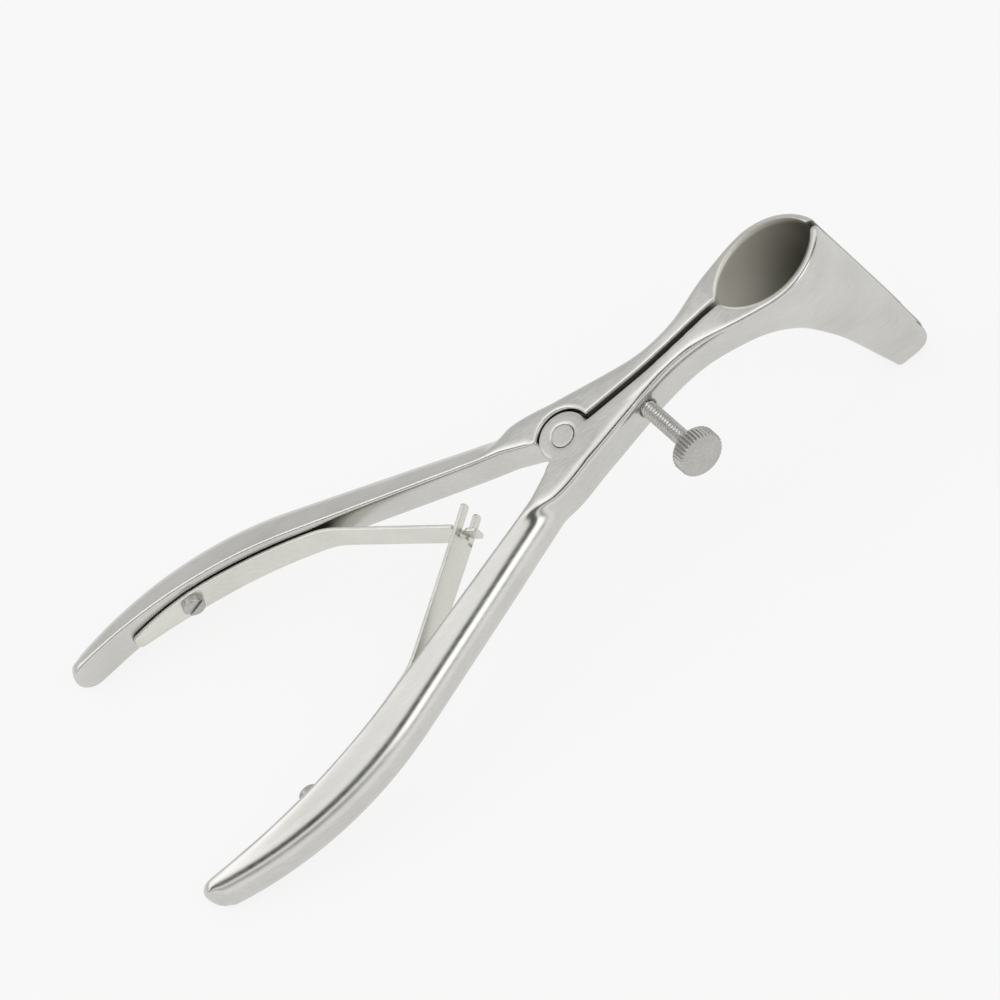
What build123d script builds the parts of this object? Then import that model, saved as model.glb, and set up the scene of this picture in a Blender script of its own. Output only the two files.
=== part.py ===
from build123d import *
import math
import os

os.makedirs("parts", exist_ok=True)

# Self-retaining nasal speculum, built about its pivot: +X runs to the mouth, +Y to the left
# arm and +Z toward the operator, so the blades point along -Z. Lengths are in millimetres.

# Lap joint: the right arm carries the upper ear, the left arm the lower one.
joint_half = 3.2
lap_gap = 0.04
ear_radius = 4.35
ear_clearance = 0.40
pin_radius = 1.90
pin_play = 0.04
pin_head_radius = 2.70
pin_head_play = 0.06
pin_dome = 0.04

# Plan of the jaws. The outer edge runs from the joint block to the shoulder of the mouth.
slit = 0.90
jaw_front = 51.35
block_edge = [(-7.0, 9.0), (-4.0, 8.7), (0.0, 7.6), (6.4, 6.0), (10.0, 5.1), (13.5, 4.3)]
shank_edge = [(17.0, 3.7), (21.0, 3.55), (25.5, 4.1)]
block_heel = [(-9.0, 8.25), (-11.5, 7.8), (-14.0, 7.65)]
throat = [(-12.5, 7.0), (-3.9, 2.1), (0.0, slit / 2)]

# Half-funnel and blade: depth, then the outer half-widths at the mouth stations.
mouth_stations = (30.8, 36.0, 41.0, 46.0, 49.5)
jaw_levels = [
    (7.0, (5.8, 7.2, 7.95, 6.8, 4.0)),
    (4.5, (5.7, 7.1, 7.90, 6.7, 3.9)),
    (-2.0, (4.9, 5.7, 6.20, 5.6, 3.4)),
    (-9.0, (3.5, 3.9, 4.35, 4.3, 2.9)),
    (-20.0, (2.2, 2.4, 2.75, 2.85, 2.25)),
    (-36.0, (1.3, 1.4, 1.60, 1.80, 1.65)),
]
# Mouth cavity: depth, rear end, front end and inner half-width.
cavity_levels = [
    (5.5, 31.9, 50.2, 6.35),
    (-2.0, 34.2, 50.1, 4.6),
    (-9.0, 39.8, 50.1, 3.05),
    (-20.0, 43.0, 50.1, 1.75),
    (-36.0, 45.2, 50.1, 0.95),
]

# Side view of the jaws.
rim_top = 4.5
blade_tip = -34.0
tip_front_radius = 3.0
tip_rear_radius = 0.6
tip_rear = 44.4
tip_rear_turn = 81.0
edge_break = 0.5
blade_back = [(42.9, -28.0), (42.1, -22.9), (41.2, -17.9), (39.9, -13.4), (38.4, -9.2)]
crotch = [(36.4, -6.0), (33.7, -3.5), (30.2, -2.4)]

# Handle: its inner face runs straight, then curves in, and its rounded back follows a line and an
# arc of its own, so the handle swells and then thins out to its end.
palm_start = (-6.0, 3.95)
splay = 21.3
palm_straight = 40.8
palm_radius = 90.0
palm_turn = 35.0
back_start = (-4.47, 8.0)
back_splay = 24.0
back_straight = 42.0
back_radius = 62.0
back_turn = 50.0
roll_depth = 2.8
roll_top = 2.55
roll_bottom = -4.3
handle_depth = 9.0
top_slope = 20.0
bottom_slope = 29.6
handle_rise = 1.9
handle_end = -86.2
tongue_radius = 3.2
tongue_z = 2.0
tongue_flare = 1.0
tongue_blend = 12.8
end_round = 2.4
end_land = 0.3
belly_x = -45.0
cut_spare = 9.0

# Leaf springs, held by one screw each and hooked together on the middle plane.
leaf = 0.90
leaf_root_run = 72.5
leaf_leave_run = 38.6
leaf_bend_radius = 14.0
leaf_angle = 42.5
leaf_root_top = 4.4
leaf_root_bottom = -0.5
leaf_tip_top = 2.9
leaf_tip_bottom = -2.5
leaf_root_round = 1.6
hook_gap = 0.45
neck_half = 0.7
slot_half = 1.1
tee_half = 1.45
tee_length = 2.1
prong_length = 4.0
prong_round = 0.9
spring_screw_inset = 11.5
spring_screw_z = 1.95
spring_screw_radius = 1.0
spring_screw_depth = 2.4
spring_hole_radius = 1.1
spring_head_radius = 1.85
spring_head_height = 1.3
driver_slot = (0.6, 0.65)
driver_turn = 115.0

# Thumb screw, square to the outer face of the right arm.
screw_exit = (13.1, -4.4)
screw_tilt = 11.7
screw_radius = 1.40
screw_play = 0.05
screw_inside = 3.2
screw_exposed = 11.5
knob_radius = 3.93
knob_height = 2.7
knob_flutes = 36
flute_depth = 0.28
knob_chamfer = 0.3


def palm(run):
    """Point on the left handle's inner face and its heading, in radians."""
    heading = math.radians(180.0 - splay)
    straight = min(run, palm_straight)
    turned = max(run - palm_straight, 0.0) / palm_radius
    x = palm_start[0] + straight * math.cos(heading)
    y = palm_start[1] + straight * math.sin(heading)
    x += palm_radius * (math.sin(heading + turned) - math.sin(heading))
    y += palm_radius * (math.cos(heading) - math.cos(heading + turned))
    return x, y, heading + turned


def palm_at(x):
    """Distance of the curved inner face from the middle plane, at one place along the handle."""
    bend = palm(palm_straight)
    past = bend[0] - palm_radius * math.sin(bend[2]) - x
    return bend[1] + palm_radius * math.cos(bend[2]) + math.sqrt(palm_radius**2 - past**2)


def back_profile(plane):
    """Cross-section of the left handle, from its outermost point to well inside the inner face."""
    inward = handle_depth - roll_depth
    top_inner = roll_top + inward * math.tan(math.radians(top_slope))
    bottom_inner = roll_bottom + inward * math.tan(math.radians(bottom_slope))
    with BuildSketch(plane) as section:
        with BuildLine():
            ThreePointArc(
                (-roll_depth, roll_top), (0, (roll_top + roll_bottom) / 2), (-roll_depth, roll_bottom)
            )
            Polyline(
                (-roll_depth, roll_bottom),
                (-handle_depth, bottom_inner),
                (-handle_depth, top_inner),
                (-roll_depth, roll_top),
            )
        make_face()
    return section.sketch


def jaw_section(depth, widths):
    """Plan of the left jaw at one depth, from the joint block to the front of the blade."""
    edge = block_edge + shank_edge + list(zip(mouth_stations, widths))
    front = (jaw_front, slit / 2)
    with BuildSketch(Plane.XY.offset(depth)) as section:
        with BuildLine():
            Spline(*edge, front)
            Spline(block_edge[0], *block_heel)
            Polyline(block_heel[-1], *throat, front)
        make_face()
    return section.sketch


def cavity_section(depth, rear, front, half):
    """Lens-shaped opening between the rims, for the left side only."""
    base = slit / 4
    with BuildSketch(Plane.XY.offset(depth)) as section:
        with BuildLine():
            ThreePointArc((rear, base), ((rear + front) / 2, half), (front, base))
            Line((front, base), (rear, base))
        make_face()
    return section.sketch


# Back of the left handle: one profile, run straight from the joint and then round the arc.
back_way = math.radians(180.0 - back_splay)
back_bend = (
    back_start[0] + back_straight * math.cos(back_way),
    back_start[1] + back_straight * math.sin(back_way),
)
back_plane = Plane(
    origin=(back_bend[0], back_bend[1], 0),
    x_dir=(math.sin(back_way), -math.cos(back_way), 0),
    z_dir=(-math.cos(back_way), -math.sin(back_way), 0),
)
back_centre = Axis(back_plane.origin - back_plane.x_dir * back_radius, (0, 0, 1))
with BuildPart() as roll:
    extrude(back_profile(back_plane), amount=back_straight)
    revolve(back_profile(back_plane), axis=back_centre, revolution_arc=back_turn)

# Left handle: the rolled back, tipped up a little, cut to the inner face and to a round end.
with BuildPart() as handle:
    add(roll.part.rotate(Axis((palm_start[0], 0, 0), (0, 1, 0)), handle_rise))
    with BuildSketch() as palm_side:
        with BuildLine():
            bend = palm(palm_straight)
            Line(palm_start, bend[:2])
            curve = JernArc(
                start=bend[:2],
                tangent=(math.cos(bend[2]), math.sin(bend[2])),
                radius=palm_radius,
                arc_size=palm_turn,
            )
            Polyline(
                curve @ 1,
                (handle_end - cut_spare, -cut_spare),
                (palm_start[0], -cut_spare),
                palm_start,
            )
        make_face()
    extrude(amount=2 * cut_spare, both=True, mode=Mode.SUBTRACT)
    tongue_x = handle_end + tongue_radius
    with BuildSketch(Plane.XZ) as tongue:
        with Locations((tongue_x, tongue_z)):
            Circle(tongue_radius)
        with BuildLine():
            Polyline(
                (tongue_x, tongue_z - tongue_radius),
                (tongue_x, tongue_z + tongue_radius),
                (tongue_x + tongue_blend, tongue_z + tongue_radius + tongue_flare),
                (0, tongue_z + tongue_radius + tongue_flare),
                (0, -joint_half),
                (belly_x, -joint_half),
                close=True,
            )
        make_face()
    extrude(amount=6 * cut_spare, both=True, mode=Mode.INTERSECT)
    with BuildSketch() as end_corner:
        with Locations((handle_end + end_round, palm_at(handle_end) + end_land)):
            Rectangle(cut_spare, cut_spare, align=(Align.MAX, Align.MIN))
            Circle(end_round, mode=Mode.SUBTRACT)
    extrude(amount=2 * cut_spare, both=True, mode=Mode.SUBTRACT)

# Left jaw: joint block, shank, half-funnel and blade, trimmed to its side view.
with BuildPart() as jaw:
    loft(sections=[jaw_section(*level) for level in jaw_levels])
    with BuildSketch(Plane.XZ) as side_view:
        with BuildLine():
            Polyline((-20, -joint_half), (-20, joint_half), (13, joint_half))
            rise = Spline(
                (13, joint_half), (22, 3.75), (31, rim_top), tangents=[(1, 0), (1, 0.02)]
            )
            Polyline(
                rise @ 1,
                (jaw_front + 1, rim_top),
                (jaw_front + 1, 0),
                (jaw_front, -4),
                (jaw_front, blade_tip + tip_front_radius),
            )
            toe = JernArc(
                start=(jaw_front, blade_tip + tip_front_radius),
                tangent=(0, -1),
                radius=tip_front_radius,
                arc_size=-90,
            )
            Line(toe @ 1, (tip_rear, blade_tip))
            heel = JernArc(
                start=(tip_rear, blade_tip),
                tangent=(-1, 0),
                radius=tip_rear_radius,
                arc_size=-tip_rear_turn,
            )
            back = Spline(
                heel @ 1,
                *blade_back,
                *crotch,
                (20, -2.9),
                (10, -joint_half),
                tangents=[heel % 1, (-1, 0)],
            )
            Line(back @ 1, (-20, -joint_half))
        make_face()
    extrude(amount=20, both=True, mode=Mode.INTERSECT)
    loft(sections=[cavity_section(*level) for level in cavity_levels], mode=Mode.SUBTRACT)
    skin = jaw.faces().sort_by(SortBy.AREA)[-1]
    rims = skin.edges().filter_by(lambda edge: (edge @ 0.5).Y > slit)
    chamfer(rims.filter_by(lambda edge: abs((edge @ 0).X - (edge @ 1).X) > 0.1), length=edge_break)


# Forging shared by both arms.
with BuildPart() as forging:
    add(jaw.part)
    add(handle.part)

# Plane of each spring screw, on the spring's inner face, its axis toward the middle plane.
screw_at = palm(leaf_root_run - spring_screw_inset)
inward = (-math.sin(screw_at[2]), math.cos(screw_at[2]))
seat_plane = Plane(
    origin=(screw_at[0] + leaf * inward[0], screw_at[1] + leaf * inward[1], spring_screw_z),
    x_dir=(math.cos(screw_at[2]), math.sin(screw_at[2]), 0),
    z_dir=(inward[0], inward[1], 0),
)
tapped_depth = leaf + spring_screw_depth

with BuildPart() as left_arm:
    add(forging.part)
    with BuildSketch(Plane.XY.offset(-lap_gap / 2)) as left_recess:
        Circle(ear_radius + ear_clearance)
    extrude(amount=2 * joint_half, mode=Mode.SUBTRACT)
    with BuildSketch(Plane.XY.offset(-joint_half)) as left_ear:
        Circle(ear_radius)
    extrude(amount=joint_half - lap_gap / 2)
    with BuildSketch(Plane.XY.offset(-joint_half)) as left_bore:
        Circle(pin_radius + pin_play)
    extrude(amount=2 * joint_half, mode=Mode.SUBTRACT)
    with BuildSketch(Plane.XY.offset(-joint_half)) as left_sink:
        Circle(pin_head_radius + pin_head_play)
    extrude(amount=pin_head_radius - pin_radius, taper=45, mode=Mode.SUBTRACT)
    with BuildSketch(seat_plane.offset(-tapped_depth)) as left_tapping:
        Circle(spring_screw_radius)
    extrude(amount=tapped_depth + 2, mode=Mode.SUBTRACT)

# Thumb screw plane: on the right arm's outer face, its axis pointing away from the arm.
tilt = math.radians(screw_tilt)
screw_plane = Plane(
    origin=(screw_exit[0], screw_exit[1], 0),
    x_dir=(math.cos(tilt), math.sin(tilt), 0),
    z_dir=(math.sin(tilt), -math.cos(tilt), 0),
)

with BuildPart() as right_arm:
    mirror(forging.part, about=Plane.XZ)
    with BuildSketch(Plane.XY.offset(lap_gap / 2)) as right_recess:
        Circle(ear_radius + ear_clearance)
    extrude(amount=-2 * joint_half, mode=Mode.SUBTRACT)
    with BuildSketch(Plane.XY.offset(lap_gap / 2)) as right_ear:
        Circle(ear_radius)
    extrude(amount=joint_half - lap_gap / 2)
    with BuildSketch(Plane.XY.offset(-joint_half)) as right_bore:
        Circle(pin_radius)
    extrude(amount=3 * joint_half, mode=Mode.SUBTRACT)
    with BuildSketch(screw_plane.offset(-8)) as screw_hole:
        Circle(screw_radius + screw_play)
    extrude(amount=12, mode=Mode.SUBTRACT)
    right_seat = Plane(
        origin=(seat_plane.origin.X, -seat_plane.origin.Y, seat_plane.origin.Z),
        x_dir=(seat_plane.x_dir.X, -seat_plane.x_dir.Y, 0),
        z_dir=(seat_plane.z_dir.X, -seat_plane.z_dir.Y, 0),
    )
    with BuildSketch(right_seat.offset(-tapped_depth)) as right_tapping:
        Circle(spring_screw_radius)
    extrude(amount=tapped_depth + 2, mode=Mode.SUBTRACT)

# Rivet: countersunk below, riveted over in a shallow cap above.
with BuildPart() as pivot_pin:
    with BuildSketch(Plane.XZ) as pin_profile:
        with BuildLine():
            Polyline(
                (0, joint_half + pin_dome),
                (0, -joint_half),
                (pin_head_radius, -joint_half),
                (pin_radius, -joint_half + pin_head_radius - pin_radius),
                (pin_radius, joint_half),
                (pin_radius - 2 * pin_dome, joint_half + pin_dome),
                close=True,
            )
        make_face()
    revolve(axis=Axis.Z)


def leaf_strip():
    """Plan of the left leaf spring: along the handle's inner face, then off to the hook."""
    with BuildSketch() as plan:
        with BuildLine() as outline:
            root = palm(leaf_root_run)
            bend = palm(max(palm_straight, leaf_leave_run))
            leave = palm(leaf_leave_run)
            along = JernArc(
                start=root[:2],
                tangent=(-math.cos(root[2]), -math.sin(root[2])),
                radius=palm_radius,
                arc_size=-math.degrees(root[2] - bend[2]),
            )
            if leaf_leave_run < palm_straight:
                Line(along @ 1, leave[:2])
            away = JernArc(
                start=leave[:2],
                tangent=(-math.cos(leave[2]), -math.sin(leave[2])),
                radius=leaf_bend_radius,
                arc_size=180 - math.degrees(leave[2]) - leaf_angle,
            )
            free = Line(away @ 1, (away @ 1) + (away % 1) * 40)
            offset(amount=leaf, side=Side.RIGHT)
        make_face()
    return plan.sketch


# Where the two leaves cross on the middle plane, and the heading of the left one there.
leave_at = palm(leaf_leave_run)
free_way = -math.radians(leaf_angle)
first_way = leave_at[2] - math.pi
free_x = leave_at[0] + leaf_bend_radius * (math.sin(first_way) - math.sin(free_way))
free_y = leave_at[1] + leaf_bend_radius * (math.cos(free_way) - math.cos(first_way))
middle_x = free_x + leaf / 2 * math.sin(free_way)
middle_y = free_y - leaf / 2 * math.cos(free_way)
cross_x = middle_x - middle_y * math.cos(free_way) / math.sin(free_way)
cross_z = (leaf_tip_top + leaf_tip_bottom) / 2
left_hook = Plane(
    origin=(cross_x, 0, cross_z),
    x_dir=(math.cos(free_way), math.sin(free_way), 0),
    z_dir=(math.sin(free_way), -math.cos(free_way), 0),
)
right_hook = Plane(
    origin=(cross_x, 0, cross_z),
    x_dir=(math.cos(free_way), -math.sin(free_way), 0),
    z_dir=(-math.sin(free_way), -math.cos(free_way), 0),
)
shoulder = leaf / 2 + hook_gap
tip_half = (leaf_tip_top - leaf_tip_bottom) / 2


def leaf_side():
    """Side view of a leaf: it drops a little to its tip and its root corners are round."""
    root_x = palm(leaf_root_run)[0]
    with BuildSketch(Plane.XZ) as side:
        with BuildLine():
            Polyline(
                (root_x, leaf_root_top),
                (root_x, leaf_root_bottom),
                (cross_x, leaf_tip_bottom),
                (0, leaf_tip_bottom),
                (0, leaf_tip_top),
                (cross_x, leaf_tip_top),
                close=True,
            )
        make_face()
        fillet(side.vertices().group_by(Axis.X)[0], radius=leaf_root_round)
    return side.sketch


# Plain leaf shared by both springs, still long at its free end.
with BuildPart() as leaf_blank:
    extrude(leaf_strip(), amount=6, both=True)
    extrude(leaf_side(), amount=40, both=True, mode=Mode.INTERSECT)

# Left leaf: its end narrows to a neck with a T-head.
with BuildPart() as left_spring:
    add(leaf_blank.part)
    with BuildSketch(left_hook) as tee:
        with Locations((30 - shoulder, 0)):
            Rectangle(60, 12)
        Rectangle(2 * shoulder + 0.6, 2 * neck_half, mode=Mode.SUBTRACT)
        with Locations((shoulder + tee_length / 2, 0)):
            RectangleRounded(tee_length, 2 * tee_half, 0.5, mode=Mode.SUBTRACT)
    extrude(amount=3, both=True, mode=Mode.SUBTRACT)
    with BuildSketch(seat_plane) as left_seat:
        Circle(spring_head_radius + 0.15)
    extrude(amount=1, mode=Mode.SUBTRACT)
    with BuildSketch(seat_plane.offset(-2)) as left_hole:
        Circle(spring_hole_radius)
    extrude(amount=4, mode=Mode.SUBTRACT)

# Right leaf: its end is a fork that the neck runs through.
with BuildPart() as right_spring:
    mirror(leaf_blank.part, about=Plane.XZ)
    with BuildSketch(right_hook) as fork:
        with Locations((30 - shoulder, 0)):
            Rectangle(60, 12)
        with Locations((prong_length / 2 - 1, tip_half), (prong_length / 2 - 1, -tip_half)):
            RectangleRounded(
                prong_length + 2, 2 * (tip_half - slot_half), prong_round / 2, mode=Mode.SUBTRACT
            )
    extrude(amount=3, both=True, mode=Mode.SUBTRACT)
    with BuildSketch(right_seat) as right_seat_face:
        Circle(spring_head_radius + 0.15)
    extrude(amount=1, mode=Mode.SUBTRACT)
    with BuildSketch(right_seat.offset(-2)) as right_hole:
        Circle(spring_hole_radius)
    extrude(amount=4, mode=Mode.SUBTRACT)


def cheese_head(seat):
    """Slotted cheese-head screw with its seat on the given plane, driven against the axis."""
    with BuildPart() as screw:
        with BuildSketch(seat):
            Circle(spring_head_radius)
        extrude(amount=spring_head_height)
        chamfer(screw.edges().sort_by(Axis(seat.origin, seat.z_dir))[-1], length=0.2)
        with BuildSketch(seat):
            Circle(spring_screw_radius)
        extrude(amount=0.3 - tapped_depth)
        with BuildSketch(seat.offset(spring_head_height)):
            Rectangle(driver_slot[1], 3 * spring_head_radius, rotation=driver_turn)
        extrude(amount=-driver_slot[0], mode=Mode.SUBTRACT)
    return screw.part


with BuildPart() as left_spring_screw:
    add(cheese_head(seat_plane))

with BuildPart() as right_spring_screw:
    add(cheese_head(right_seat))

# Thumb screw: turned in one piece, then fluted around its head.
axis_plane = Plane(
    origin=screw_plane.origin, x_dir=screw_plane.x_dir, z_dir=-screw_plane.y_dir
)
knob_top = screw_exposed + knob_height
with BuildPart() as thumb_screw:
    with BuildSketch(axis_plane) as turned:
        with BuildLine():
            Polyline(
                (0, -screw_inside),
                (screw_radius - 0.4, -screw_inside),
                (screw_radius, -screw_inside + 0.4),
                (screw_radius, screw_exposed),
                (knob_radius - knob_chamfer, screw_exposed),
                (knob_radius, screw_exposed + knob_chamfer),
                (knob_radius, knob_top - knob_chamfer),
                (knob_radius - knob_chamfer, knob_top),
                (0, knob_top),
                close=True,
            )
        make_face()
    revolve(axis=Axis(screw_plane.origin, screw_plane.z_dir))
    with BuildSketch(screw_plane.offset(screw_exposed)) as flutes:
        with PolarLocations(knob_radius, knob_flutes):
            Rectangle(flute_depth * 1.414, flute_depth * 1.414, rotation=45)
    extrude(amount=knob_height, mode=Mode.SUBTRACT)

# Resting pose: the floor is the common tangent under the handle ends and the blades' rear
# corners, and the origin is the middle of the outline on that floor.
corner_z = blade_tip + tip_rear_radius
reach = math.hypot(tip_rear - tongue_x, corner_z - tongue_z)
fall = math.atan2(tongue_z - corner_z, tip_rear - tongue_x)
lean = fall - math.asin((tongue_radius - tip_rear_radius) / reach)
floor = tongue_radius - tongue_x * math.sin(lean) - tongue_z * math.cos(lean)
rear_end = tongue_x * math.cos(lean) - tongue_z * math.sin(lean) - tongue_radius
toe_x = jaw_front - tip_front_radius
toe_z = blade_tip + tip_front_radius
front_end = toe_x * math.cos(lean) - toe_z * math.sin(lean) + tip_front_radius
centre = (rear_end + front_end) / 2
resting = Location((-centre, 0, floor), (0, -math.degrees(lean), 0))

pieces = {
    "left_arm": left_arm,
    "right_arm": right_arm,
    "pivot_pin": pivot_pin,
    "left_spring": left_spring,
    "right_spring": right_spring,
    "left_spring_screw": left_spring_screw,
    "right_spring_screw": right_spring_screw,
    "thumb_screw": thumb_screw,
}
for name, piece in pieces.items():
    placed = piece.part.moved(resting)
    placed.label = name
    export_step(placed, f"parts/{name}.step")
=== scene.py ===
"""Looks of a self-retaining nasal speculum.

Satin forged arms and a turned set screw, each on its CAD body, and leaf springs. Sizes are in
millimetres in the instrument's own frame unless a name or a docstring says otherwise.
"""

import logging
import math
from dataclasses import dataclass, field
from enum import Enum
from functools import reduce
from itertools import product

import bpy
import numpy as np
from mathutils import Matrix, Vector
from mathutils.bvhtree import BVHTree


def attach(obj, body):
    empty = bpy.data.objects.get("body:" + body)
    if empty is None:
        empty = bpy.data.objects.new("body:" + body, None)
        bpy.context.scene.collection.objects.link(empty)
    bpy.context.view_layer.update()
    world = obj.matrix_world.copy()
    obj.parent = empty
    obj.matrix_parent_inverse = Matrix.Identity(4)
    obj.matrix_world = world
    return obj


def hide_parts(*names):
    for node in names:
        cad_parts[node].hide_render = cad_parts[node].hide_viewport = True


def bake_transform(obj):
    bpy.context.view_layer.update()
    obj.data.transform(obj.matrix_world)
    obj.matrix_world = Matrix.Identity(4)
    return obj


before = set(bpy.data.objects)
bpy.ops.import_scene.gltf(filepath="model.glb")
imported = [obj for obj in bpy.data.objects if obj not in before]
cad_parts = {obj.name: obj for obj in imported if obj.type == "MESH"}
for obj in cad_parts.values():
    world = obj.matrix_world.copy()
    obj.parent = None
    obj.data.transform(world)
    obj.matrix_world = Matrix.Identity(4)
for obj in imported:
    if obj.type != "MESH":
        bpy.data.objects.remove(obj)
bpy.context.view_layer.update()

MM_PER_M = 1000
FULL_TURN = 2 * math.pi

log = logging.getLogger("speculum")


def linear(code: str) -> tuple[float, float, float, float]:
    """Turn an sRGB hex colour into linear RGBA: straight near black, a power of 2.4 above.

    Args:
        code: colour as #RRGGBB.

    Returns:
        Linear red, green, blue and an alpha of 1.
    """
    values = [int(code[k : k + 2], 16) / 255 for k in (1, 3, 5)]
    red, green, blue = [
        v / 12.92 if v <= 0.04045 else ((v + 0.055) / 1.055) ** 2.4 for v in values
    ]
    return red, green, blue, 1.0


def add_node(
    tree: bpy.types.NodeTree,
    kind: str,
    inputs: dict[str | int, object] | None = None,
    **settings: object,
) -> bpy.types.Node:
    """Add one shader node with its settings, incoming links and input values.

    Args:
        tree: node tree that takes the node.
        kind: node type name.
        inputs: input name or index to the output socket that feeds it, or to its value.
        settings: node attributes, or input values where the name is an input.

    Returns:
        The new node.
    """
    node = tree.nodes.new(kind)
    for name, value in settings.items():
        if hasattr(node, name):
            setattr(node, name, value)
        else:
            node.inputs[name.replace("_", " ").title()].default_value = value
    for name, source in (inputs or {}).items():
        if isinstance(source, bpy.types.NodeSocket):
            tree.links.new(source, node.inputs[name])
        else:
            node.inputs[name].default_value = source
    return node


def ease(share: np.ndarray) -> np.ndarray:
    """Smooth step: three times the square less twice the cube of a share held from 0 to 1.

    Args:
        share: shares, which may lie outside 0 to 1.

    Returns:
        Eased shares of the same shape.
    """
    share = np.clip(share, 0, 1)
    return (share * share * (3 - 2 * share)).astype(np.float32)


class Side(Enum):
    """Side of the middle plane that a piece lies on."""

    LEFT = 1.0
    RIGHT = -1.0


@dataclass(frozen=True)
class Pose:
    """Instrument frame in millimetres, leaned onto the floor as the row frame in metres."""

    lean: float = math.radians(14.402060)
    shift: tuple[float, float, float] = (13.274040, 0.0, 21.907002)

    def turn(self) -> np.ndarray:
        """Rotation from instrument to row axes, a turn by the lean about the cross axis."""
        c, s = math.cos(self.lean), math.sin(self.lean)
        return np.array([[c, 0.0, -s], [0.0, 1.0, 0.0], [s, 0.0, c]])

    def place(self, points: np.ndarray) -> np.ndarray:
        """Row points in metres: the turned instrument points plus the shift.

        Args:
            points: array of instrument points in millimetres, xyz last.

        Returns:
            Array of the same shape in metres.
        """
        return (np.asarray(points, float) @ self.turn().T + np.array(self.shift)) / MM_PER_M

    def lift(self, points: np.ndarray) -> np.ndarray:
        """Instrument points of row points: less the shift, then turned back.

        Args:
            points: array of row points in metres, xyz last.

        Returns:
            Array of the same shape in millimetres.
        """
        return (np.asarray(points, float) * MM_PER_M - np.array(self.shift)) @ self.turn()


POSE = Pose()


@dataclass
class Surface:
    """Mesh gathered from numpy grids before it becomes one object."""

    name: str
    points: list[np.ndarray] = field(default_factory=list)
    faces: list[list[int]] = field(default_factory=list)
    count: int = 0

    def tube(self, rings: np.ndarray) -> None:
        """Add a closed tube: rings joined quad by quad, with a flat cap at each end.

        Rings that run counter-clockwise about the way they advance give outward faces.

        Args:
            rings: ring points in instrument millimetres, shaped (stations, around, 3).
        """
        stations, around = rings.shape[:2]
        index = self.count + np.arange(stations * around).reshape(stations, around)
        ahead = np.roll(index, -1, axis=1)
        quads = np.stack([index[:-1], ahead[:-1], ahead[1:], index[1:]], axis=-1).reshape(-1, 4)
        self.faces += quads.tolist() + [index[0, ::-1].tolist(), index[-1].tolist()]
        self.points.append(rings.reshape(-1, 3))
        self.count += stations * around

    def patch(self, points: np.ndarray, quads: np.ndarray) -> None:
        """Add points and the quads between them.

        Args:
            points: array of instrument points in millimetres.
            quads: array of four point numbers per face.
        """
        self.faces += (quads + self.count).tolist()
        self.points.append(points)
        self.count += len(points)

    def build(self, smooth_angle: float) -> bpy.types.Object:
        """Make the object, smooth except at edges sharper than the angle.

        Args:
            smooth_angle: largest smoothed angle between faces, in degrees.

        Returns:
            The object, at the origin with its place in its mesh.
        """
        mesh = bpy.data.meshes.new(self.name)
        mesh.from_pydata(POSE.place(np.concatenate(self.points)).tolist(), [], self.faces)
        mesh.validate()
        mesh.update()
        mesh.shade_smooth()
        mesh.set_sharp_from_angle(angle=math.radians(smooth_angle))
        obj = bpy.data.objects.new(self.name, mesh)
        bpy.context.scene.collection.objects.link(obj)
        return obj


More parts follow.
